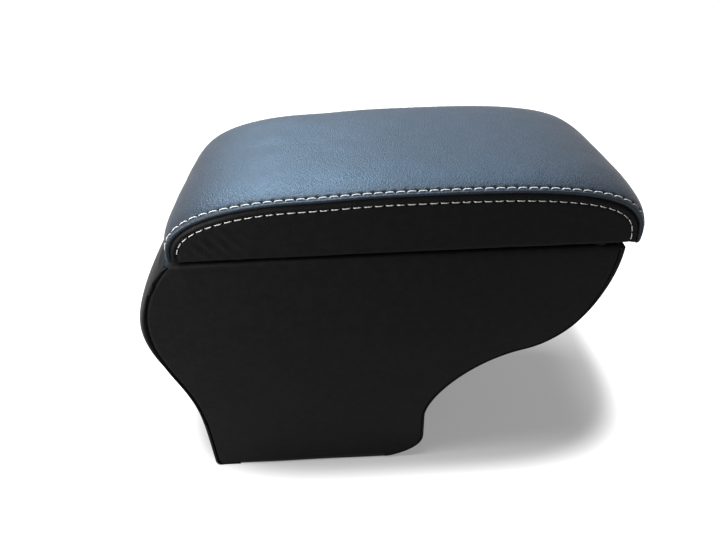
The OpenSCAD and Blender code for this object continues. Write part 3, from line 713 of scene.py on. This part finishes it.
def side_layers():
    """Flat rows of a side panel in X and Z, from the seam down, with each row's distance from the seam
    and depth in the fold, and each column's distance along the seam. The seam goes on under the lid
    at both ends, where the panel's hem lies."""
    seam = lid_seam()
    down = np.linspace(ROLL_L - EDGE_R + HEM_IN, 0.5, 8)
    tail_rear = np.stack([np.full(len(down), seam[0, 0]), LID_Z - down], axis=1)
    tail_front = np.stack([np.full(len(down), seam[-1, 0]), LID_Z - down[::-1]], axis=1)
    tail_l = lengths(joined(tail_rear, seam[:1]))[-1]
    seam = spaced(joined(tail_rear, seam, tail_front), ALONG)
    s = lengths(seam) - tail_l
    out = left_normals(seam)
    offsets = np.r_[FOLD_SHAPE[:, 0], np.arange(PAST_FOLD, 8.3, 0.5)]
    layers = seam[None] - offsets[:, None, None] * out[None]
    last = layers[-1]
    base_x = SEAM_MID + (last[:, 0] - SEAM_MID) * FAN_SHARE
    base = np.stack([base_x, np.full(len(seam), seam[0, 1])], axis=1)
    w = np.linspace(0, 1, 22)[1:, None, None]
    flat = np.concatenate([layers, last[None] * (1 - w) + base[None] * w])
    distance = np.r_[offsets, offsets[-1] + w[:, 0, 0] * FAN_L]
    depth = np.r_[FOLD_SHAPE[:, 1], np.zeros(len(distance) - FOLDS)]
    return flat[:, :, 0], flat[:, :, 1], distance[:, None], depth[:, None], s[None, :]


def lid_side(name, node, sign):
    """A D-shaped side panel: layers that follow the seam, then a fan down to its lower edge."""
    x, z, distance, depth, s = side_layers()
    relief, pits = seam_relief(distance, s, LOWER_ROW, band=0.4, dip=0.45, pit=0.5, past=0.0)
    relief[:FOLDS] = 0
    pits[:FOLDS] = 0
    slack = bell(x - SEAM_REAR - SLACK_FROM, SLACK_L) * bell(z - LID_Z - SLACK_UP, SLACK_W)
    slack = slack * smooth((distance - 6) / 6)
    phase = SLACK_WAVE * (x + SLACK_SLANT * z) + SLACK_TIGHTEN * (x - SEAM_REAR) ** 1.2
    relief = relief + SLACK_H * slack * np.sin(phase)
    relief = relief + 0.12 * soft_waves(x, z * 1.6, size=22) * smooth((distance - 6) / 8)
    drop = LID_Z + EDGE_R - z
    inward, lift = rolled(np.maximum(drop, 0), EDGE_R)
    turn = np.clip(drop / EDGE_R, 0, np.pi / 2)
    y = LID_HALF - depth * np.cos(turn) + relief
    y = np.where(drop > 0, y - inward, y)
    z = np.where(drop > 0, LID_Z + EDGE_R - lift, z) + depth * np.sin(turn)
    x = SEAM_MID + (x - SEAM_MID) * (1 - np.maximum(drop - ROLL_L, 0) / SEAM_HALF)
    grid = np.stack([x, sign * y, z], axis=-1)
    mark = smooth(1 - (distance - 5) / 14)
    # Pits on a side panel take 0.6 of the painted shade in the needle holes
    piece = leather_sheet(name, grid, leather_side_shaded, LID_INSIDE, near_seam=mark, pits=0.6 * pits)
    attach(piece, "lid")
    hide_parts(node)


# Stitches

def thread_row(name, holes, out, fill, bow, lift):
    """A row of stitches from needle hole to needle hole: short two-ply threads that arch over the
    leather and dive into it at both ends."""
    rings = np.linspace(-1, 1, 15)
    turns = np.linspace(0, 2 * np.pi, 11)[:-1]
    points = []
    faces = []
    ends = []
    for first, second, up in zip(holes[:-1], holes[1:], out):
        place = (first + second) / 2
        reach = np.linalg.norm(second - first) * fill / 2
        way = (second - first) / np.linalg.norm(second - first)
        across = np.cross(way, up)
        # Of the two ways across the thread, the one that points up from its row
        away = across * np.sign(across[2] * abs(way[0]) - across[0] * way[2] * np.sign(way[0]) + 1e-9)
        start = len(points)
        for t in rings:
            thick = THREAD_R * max(0.2, 1 - abs(t) ** 7) ** 0.5
            height = lift - DIVE * abs(t) ** 6
            middle = place + way * (t * reach) + up * height + away * (bow * (0.6 - abs(t) ** 3))
            for a in turns:
                r = thick * (1 + PLY * math.cos(2 * a - TWIST * t))
                points.append(middle + across * (r * math.cos(a)) + up * (r * math.sin(a)))
                # The last fifth at each end takes the thread's painted shade
                ends.append(smooth((abs(t) - 0.8) / 0.2))
        n = len(turns)
        for i in range(len(rings) - 1):
            for j in range(n):
                a = start + i * n + j
                b = start + i * n + (j + 1) % n
                faces.append([a, b, b + n, a + n])
        faces.append([start + j for j in range(n)][::-1])
        faces.append([start + (len(rings) - 1) * n + j for j in range(n)])
    piece = mesh_piece(name, points, faces, thread, {"ends": ends})
    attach(piece, "lid")


def hole_places():
    """Places on the seam that face the needle holes, with the seam's outward direction there."""
    seam = spaced(lid_seam(), 0.5)
    s = lengths(seam)
    holes = np.arange(0, s[-1] + 0.01, STITCH_PITCH)
    at = at_length(seam, holes)
    out = seam_outward(seam)
    up = unit_rows(np.stack([np.interp(holes, s, out[:, k]) for k in range(2)], axis=1))
    return at, up


def upper_row(sign):
    """Needle holes of the upper row on the top strip, with the way out of the leather between them."""
    at, up = hole_places()
    u, section, normal = strip_section(LID_HALF, CROWN)
    row = upper_row_at(at[:, 0])
    y, h = (np.interp(row, u, section[:, k]) for k in range(2))
    ny, nh = (np.interp(row, u, normal[:, k]) for k in range(2))
    h = h * end_crown(at[:, 0], at[:, 1])
    holes = np.stack([at[:, 0] + up[:, 0] * h, sign * y, at[:, 1] + up[:, 1] * h], axis=1)
    out = unit_rows(np.stack([up[:, 0] * nh, sign * ny, up[:, 1] * nh], axis=1))
    keep = holes[:, 2] > LID_Z + UPPER_LOW
    return holes[keep], unit_rows(out[:-1] + out[1:])[keep[:-1]]


def lower_row(sign):
    """Needle holes of the lower row on a side panel, with the way out of the leather between them."""
    at, up = hole_places()
    line = at - LOWER_ROW * up
    holes = np.stack([line[:, 0], np.full(len(line), sign * LID_HALF), line[:, 1]], axis=1)
    keep = holes[:, 2] > LID_Z + LOWER_LOW
    return holes[keep], np.tile([0.0, sign, 0.0], (keep.sum(), 1))


# Body

FLANGE_IN = SIDE_IN - RAIL_GAP
DROP_REAR = RAIL_REAR + RAIL_GAP
DROP_FRONT = RAIL_FRONT - RAIL_GAP
BODY_INSIDE = np.array([60, 0, 120])

# Rows and columns of a side panel's mesh, and the steps beside its rear fold and its front fold
SIDE_ROWS = 130
SIDE_COLS = 110
REAR_STEPS = [PAST_FOLD, 2.3, 3.1, 4.1]
FRONT_STEPS = [0.9, 1.5, 2.4, 3.6]

# Where a strip and a side panel both go over the rim, the strip lies this much in and below
UNDER_EDGE = 0.9
UNDER_DIP = 0.75


def back_swell(z):
    """Swell of the back strip at height z."""
    back = HEEL_CROWN + (BACK_CROWN - HEEL_CROWN) * smooth((z - WAIST_Z) / SWELL_RAMP)
    return back + BELLY_CROWN * bell(z - BELLY[1] - BELLY_UP, BELLY_W)


def side_grid():
    """Flat places on a body's side panel in X and Z, from the rear seam to the front one in each row,
    and how deep each column lies in a fold."""
    rear = at_length(rear_line, np.linspace(0, lengths(rear_line)[-1], SIDE_ROWS))
    front = at_length(front_line, np.linspace(0, lengths(front_line)[-1], SIDE_ROWS))
    rear_off = np.r_[FOLD_SHAPE[:, 0], REAR_STEPS]
    front_off = CORNER_IN + np.r_[FRONT_FOLD[:, 0], FRONT_STEPS]
    rear_cols = rear[:, None] - rear_off[None, :, None] * left_normals(rear)[:, None]
    front_cols = front[:, None] + front_off[None, ::-1, None] * left_normals(front)[:, None]
    w = np.linspace(0, 1, SIDE_COLS)[None, 1:-1, None]
    middle = rear_cols[:, -1:] * (1 - w) + front_cols[:, :1] * w
    flat = np.concatenate([rear_cols, middle, front_cols], axis=1)
    edge = np.r_[FOLD_SHAPE[:, 1], np.zeros(len(REAR_STEPS))]
    depth = np.r_[edge, np.zeros(w.shape[1]), edge[::-1]]
    return flat[:, :, 0], np.clip(flat[:, :, 1], 0, None), depth


def body_side(name, node, sign):
    """An S-shaped side panel from seam to seam, rolled over the rim and under the foot."""
    x, z, depth = side_grid()
    flange = HALF - FLANGE_IN - RIM_R - EDGE_R
    steps, flat_steps = rim_steps(RIM_R, flange)
    hem = np.linspace(ROLL_L - EDGE_R + HEM_L, 0.3, 6)
    body_rows = z.max(axis=1) < RIM_Z - RIM_R - 0.2
    low_z = -hem[:, None] + np.zeros_like(x[:1])
    top_z = RIM_Z - RIM_R + np.r_[0, steps][:, None] + np.zeros_like(x[:1])
    level = RIM_Z - RIM_R + RIM_R * np.sin(np.clip(np.r_[0, steps] / RIM_R, 0, np.pi / 2))
    rear_x = np.interp(level, rear_line[:, 1], rear_line[:, 0])[:, None]
    front_x = np.interp(level, front_line[:, 1], front_line[:, 0])[:, None]
    share = (x[-1:] - RIM_REAR) / (RIM_FRONT - RIM_REAR)
    x = np.concatenate([np.repeat(x[:1], len(hem), axis=0), x[body_rows],
                        rear_x + (front_x - rear_x) * share])
    z = np.concatenate([low_z, z[body_rows], top_z])
    relief = 0.2 * soft_waves(x + 300, z * 1.3, size=34)
    # The leather is a little fuller at the rear top corner
    puff = 0.5 * bell(x - RIM_REAR - 7, 9) * bell(z - RIM_Z + 9, 8)
    past = np.maximum(z - (RIM_Z - RIM_R), 0)
    under = np.maximum(EDGE_R - z, 0)
    over_turn = np.clip(past / RIM_R, 0, np.pi / 2)
    under_turn = np.clip(under / EDGE_R, 0, np.pi / 2)
    y = HALF - depth[None, :] * np.cos(over_turn + under_turn) + relief * (depth[None, :] == 0) + puff
    inward, height = over_rim(past, RIM_R, flange)
    y = np.where(past > 0, y - inward, y)
    in_under, lift = rolled(under, EDGE_R)
    y = np.where(under > 0, y - in_under, y)
    new_z = np.where(past > 0, RIM_Z + height, z)
    new_z = np.where(under > 0, LIFT + EDGE_R - lift, new_z)
    new_z = new_z + depth[None, :] * (np.sin(under_turn) - np.sin(over_turn))
    grid = np.stack([x, sign * y, new_z], axis=-1)
    keep = np.ones((len(grid) - 1, grid.shape[1] - 1), bool)
    last_flat = len(grid) - 1 - (len(steps) - flat_steps)
    outside = (x[-1, :-1] < DROP_REAR) | (x[-1, 1:] > DROP_FRONT)
    keep[last_flat:, outside] = False
    piece = leather_sheet(name, grid, leather_side_shaded, BODY_INSIDE, keep=keep)
    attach(piece, "body")
    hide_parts(node)


def strip_points(line, out, y, h):
    """Points of a half strip from its line, the way out of it, and place across and height per row."""
    x = line[:, 0, None] + out[:, 0, None] * h
    z = line[:, 1, None] + out[:, 1, None] * h
    return np.stack([x, np.broadcast_to(y, x.shape), z], axis=-1)


def over_floor(half_grid):
    """Lifts a strip clear of the floor, and draws its edges in as the side panels roll under."""
    half_grid[:, :, 2] = np.maximum(half_grid[:, :, 2], LIFT + 0.7 * LEATHER_T)
    inward, _ = rolled(np.maximum(EDGE_R - (half_grid[:, :, 2] - LIFT), 0), EDGE_R)
    half_grid[:, :, 1] *= (HALF - inward) / HALF
    half_grid[:, :FOLDS, 2] += 0.5 * FOLD_SHAPE[:, 1] * inward[:, :FOLDS] / EDGE_R
    return half_grid


def with_rim(half_grid, way, flange):
    """Adds the rows that take a strip over the rim, in along way, and down into the bin. They get
    narrower on the flange, where the side panels lie beside them."""
    last = half_grid[-1]
    base = last[:, 0].max() if way < 0 else last[:, 0].min()
    steps, _ = rim_steps(EDGE_R, flange)
    rows = []
    for past in steps:
        inward, height = over_rim(past, EDGE_R, flange)
        flat = smooth(past / 6)
        x = last[:, 0] * (1 - flat) + base * flat + way * inward
        turned = np.clip(past / ROLL_L, 0, 1)
        at_bin = smooth((past - ROLL_L - 0.7 * flange) / (0.3 * flange))
        narrow = UNDER_EDGE * turned + (HALF - UNDER_EDGE - SIDE_IN + LIFT) * at_bin
        y = last[:, 1] * (1 - narrow / HALF)
        level = last[:, 2] * (1 - flat) + (RIM_Z - EDGE_R - LIFT) * flat
        over_roll = np.clip(y - (HALF - RIM_R), 0, RIM_R)
        dip = UNDER_DIP * smooth((y - FLANGE_IN + 3) / 2.5)
        under = (dip + RIM_R - np.sqrt(RIM_R ** 2 - over_roll ** 2)) * turned
        rows.append(np.stack([x, y, level + EDGE_R + height - under], axis=1))
    return np.concatenate([half_grid, np.array(rows)])


def rear_strip():
    """The padded strip down the back, from its hem under the heel to the rim."""
    line = spaced(rear_line, 1.4)
    line = line[line[:, 1] < RIM_Z - EDGE_R]
    out = left_normals(line)
    amount = back_swell(line[:, 1]) * smooth((line[:, 1] + 1) / HEEL_RAMP)
    up = np.minimum(out[:, 1], (RIM_Z - 1.5 - line[:, 1]) / amount)
    level = np.stack([-np.sqrt(np.maximum(1 - up * up, 0)), up], axis=1)
    crown = BACK_CROWN + BELLY_CROWN
    u, section, normal = strip_section(HALF, crown, fine_l=7.0, fine=0.8, step=2.6)
    s = lengths(line)
    waves = 0.15 * soft_waves(s[:, None] + 90, section[None, :, 0], size=18)
    relief = 0.35 * bell(u - 3, 2.0)[None] + waves
    scale = (amount / crown)[:, None]
    y = section[None, :, 0] + relief * normal[None, :, 0]
    h = section[None, :, 1] * scale + relief * normal[None, :, 1]
    fold_y = np.repeat(HALF - FOLD_SHAPE[None, :, 1], len(line), axis=0)
    fold_h = np.repeat(FOLD_SHAPE[None, :, 0], len(line), axis=0)
    half_grid = strip_points(line, level, np.concatenate([fold_y, y], axis=1),
                             np.concatenate([fold_h, h], axis=1))
    hem = np.repeat(half_grid[:1], 4, axis=0)
    hem[:, :, 0] = np.linspace(FOOT_REAR + HEEL_R + HEM_L, FOOT_REAR + HEEL_R + 2, 4)[:, None]
    hem[:, :, 2] = 0
    half_grid = over_floor(np.concatenate([hem, half_grid]))
    half_grid = with_rim(half_grid, 1, DROP_REAR - RIM_REAR - 2 * EDGE_R)
    mark = np.r_[np.ones(FOLDS), smooth(1 - (u - 3) / 12)]
    piece = leather_sheet("rear_leather", both_halves(half_grid), leather_side_shaded, BODY_INSIDE,
                          near_seam=both_sides(mark)[None, :])
    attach(piece, "body")
    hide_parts("rear_cover")


def front_strip():
    """The plain strip up the front, from its toe to the rim: it wraps both corners, and its seams lie
    just behind them on the sides."""
    line = spaced(front_line, 1.6)
    line = line[line[:, 1] < RIM_Z - EDGE_R]
    out = -left_normals(line)
    corner = np.radians(np.linspace(0, 90, 7))[1:]
    across = np.linspace(HALF - CORNER_R, 0, 26)[1:]
    y = np.concatenate([HALF - FRONT_FOLD[:, 1], HALF - CORNER_R * (1 - np.cos(corner)), across])
    folded = FRONT_FOLD[:, 0] - CORNER_IN
    h = np.concatenate([folded, CORNER_R * (np.sin(corner) - 1), np.zeros(len(across))])
    crown = FRONT_SWELL * np.clip(1 - (y / HALF) ** 4, 0, 1) * (h >= -0.01)
    full = FRONT_BULGE * bell(line[:, 1] - RIM_Z + BULGE_DOWN, BULGE_W)[:, None] * (h > -0.8)
    s = lengths(line)
    waves = 0.12 * soft_waves(s[:, None] + 40, y[None, :], size=26) * smooth((HALF - y) / 10)
    fade = smooth(line[:, 1] / 14)[:, None]
    half_grid = strip_points(line, out, y[None, :], h[None, :] + full + fade * (crown[None, :] + waves))
    half_grid = over_floor(half_grid)
    half_grid = with_rim(half_grid, -1, RIM_FRONT - DROP_FRONT - 2 * EDGE_R)
    piece = leather_sheet("front_leather", both_halves(half_grid), leather_side_shaded, BODY_INSIDE)
    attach(piece, "body")
    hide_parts("front_cover")


# Studio

# The photograph's camera: its place in metres, and its yaw, pitch and roll in degrees
CAMERA_PLACE = (0.0499, -0.3517, 0.3996)
CAMERA_TURN = (1.01, 35.72, -2.04)
CAMERA_LENS = 27
SENSOR_W = 36

# Lamps: place, target and size in metres, power in watts, and colour
LAMPS = {
    "top": ((-0.12, 0.05, 1.5), (0.0, 0, 0), (0.6, 0.6), 24, (1, 1, 1)),
    "fill": ((-0.34, -0.24, 0.42), (-0.06, -0.07, 0.18), (0.2, 0.2), 4.6, (1, 1, 1)),
    "sky_left": ((-0.32, 0.76, 1.16), (0.0, 0, 0.22), (0.65, 0.4), 39, (0.52, 0.77, 1.0)),
    "sky_right": ((0.42, 0.74, 1.15), (0.12, 0, 0.22), (0.65, 0.45), 11, (0.46, 0.72, 1.0)),
}
OFF_FLOOR = ("fill", "sky_left", "sky_right")

# Strength of the world for rays that don't show it
WORLD_LEVEL = 0.12

# Floor: half its width in millimetres, and how pale it is for rays that show it and for the others
FLOOR_HALF = 9000
SEEN_FLOOR = (0.55, 0.55, 0.55)
UNSEEN_FLOOR = (0.2, 0.2, 0.2)

# Part of the floor that keeps the shadow: its middle and half sizes in metres, the shares of the half
# sizes between which it fades into plain white, and its own glow. The glow there is lower than
# elsewhere, which paints the patch darker as shade, and the lamps' real shadow falls in it too.
SHADOW_MID = (0.094, 0.08)
SHADOW_HALF = (0.196, 0.165)
SHADOW_FADE = (0.86, 1.22)
SHADOW_GLOW = 0.27


def set_camera():
    """The camera at the photograph's place, turned by yaw, pitch and roll."""
    yaw, pitch, roll = (math.radians(a) for a in CAMERA_TURN)
    ahead = Vector((math.sin(yaw) * math.cos(pitch), math.cos(yaw) * math.cos(pitch), -math.sin(pitch)))
    right = Vector((math.cos(yaw), -math.sin(yaw), 0))
    up = right.cross(ahead)
    right_rolled = right * math.cos(roll) + up * math.sin(roll)
    up_rolled = up * math.cos(roll) - right * math.sin(roll)
    data = bpy.data.cameras.new("camera")
    data.lens = CAMERA_LENS
    data.sensor_width = SENSOR_W
    camera = bpy.data.objects.new("camera", data)
    turn = Matrix((right_rolled, up_rolled, -ahead)).transposed().to_4x4()
    camera.matrix_world = Matrix.Translation(CAMERA_PLACE) @ turn
    bpy.context.scene.collection.objects.link(camera)
    bpy.context.scene.camera = camera


def softbox(name, place, target, size, power, colour):
    """A rectangular lamp that faces its target."""
    data = bpy.data.lights.new(name, "AREA")
    data.shape = "RECTANGLE"
    data.size, data.size_y = size
    data.energy = power
    data.color = colour
    lamp = bpy.data.objects.new(name, data)
    lamp.location = place
    lamp.rotation_euler = (Vector(target) - Vector(place)).to_track_quat("-Z", "Y").to_euler()
    bpy.context.scene.collection.objects.link(lamp)
    return lamp


def seen_rays(tree):
    """1 for rays that show the background: from the camera, in reflections and through glass."""
    path = add(tree, "ShaderNodeLightPath")
    seen = math_node(tree, "MAXIMUM", path.outputs["Is Camera Ray"], path.outputs["Is Glossy Ray"])
    return math_node(tree, "MAXIMUM", seen, path.outputs["Is Transmission Ray"])


def set_world():
    """White to the camera and to reflections, and a plain grey light for everything else."""
    world = bpy.data.worlds.new("studio")
    bpy.context.scene.world = world
    world.use_nodes = True
    tree = world.node_tree
    background = tree.nodes["Background"]
    background.inputs["Color"].default_value = (1, 1, 1, 1)
    tree.links.new(spread(tree, seen_rays(tree), WORLD_LEVEL, 1.0), background.inputs["Strength"])


def set_floor():
    """A large pale floor that glows for rays that show it. Over a patch near the object the glow is
    lower, which paints shade there and keeps the lamps' shadow; further away it is plain white.
    """
    points = [(x * FLOOR_HALF, y * FLOOR_HALF, 0) for x, y in ((-1, -1), (1, -1), (1, 1), (-1, 1))]
    material, tree, shader = node_material("floor")
    seen = seen_rays(tree)
    shade = colour_mix(tree, seen, UNSEEN_FLOOR, SEEN_FLOOR, ends=(0.0, 1.0))
    tree.links.new(shade, shader.inputs["Base Color"])
    shader.inputs["Roughness"].default_value = 0.9
    shader.inputs["Specular IOR Level"].default_value = 0.1
    place = add(tree, "ShaderNodeVectorMath", operation="SUBTRACT")
    tree.links.new(object_coords(tree, (1 / SHADOW_HALF[0], 1 / SHADOW_HALF[1], 1)), place.inputs[0])
    place.inputs[1].default_value = (SHADOW_MID[0] / SHADOW_HALF[0], SHADOW_MID[1] / SHADOW_HALF[1], 0)
    squared = add(tree, "ShaderNodeVectorMath", operation="MULTIPLY")
    tree.links.new(place.outputs[0], squared.inputs[0])
    tree.links.new(place.outputs[0], squared.inputs[1])
    from_middle = add(tree, "ShaderNodeVectorMath", operation="LENGTH")
    tree.links.new(squared.outputs[0], from_middle.inputs[0])
    away = add(tree, "ShaderNodeMapRange", interpolation_type="SMOOTHSTEP")
    tree.links.new(from_middle.outputs["Value"], away.inputs["Value"])
    away.inputs["From Min"].default_value = SHADOW_FADE[0]
    away.inputs["From Max"].default_value = SHADOW_FADE[1]
    away.inputs["To Min"].default_value = SHADOW_GLOW
    away.inputs["To Max"].default_value = 1.0
    # Lower glow over the shadow patch: painted shade, under the lamps' real shadow
    glow = math_node(tree, "MULTIPLY", away.outputs["Result"], seen)
    shader.inputs["Emission Color"].default_value = (1, 1, 1, 1)
    tree.links.new(glow, shader.inputs["Emission Strength"])
    floor = mesh_piece("floor", points, [[0, 1, 2, 3]], material)
    return floor


def set_studio():
    """Camera, world, floor and lamps. The lamps that are kept off the floor would wash out or tint
    the shadow there."""
    set_camera()
    set_world()
    floor = set_floor()
    lamps = {name: softbox(name, *values) for name, values in LAMPS.items()}
    not_on_floor = bpy.data.collections.new("not_on_floor")
    not_on_floor.objects.link(floor)
    not_on_floor.collection_objects[0].light_linking.link_state = "EXCLUDE"
    for name in OFF_FLOOR:
        lamps[name].light_linking.receiver_collection = not_on_floor
    bpy.context.scene.view_settings.view_transform = "Standard"


finish_nodes()
lid_top()
for side_name, side_sign in (("left", 1), ("right", -1)):
    lid_side(f"lid_side_leather_{side_name}", f"lid_side_{side_name}", side_sign)
    thread_row(f"stitches_upper_{side_name}", *upper_row(side_sign), fill=UPPER_L, bow=0.5, lift=0.25)
    thread_row(f"stitches_lower_{side_name}", *lower_row(side_sign), fill=LOWER_L, bow=0.0, lift=0.12)
    body_side(f"body_side_leather_{side_name}", f"side_cover_{side_name}", side_sign)
rear_strip()
front_strip()
set_studio()
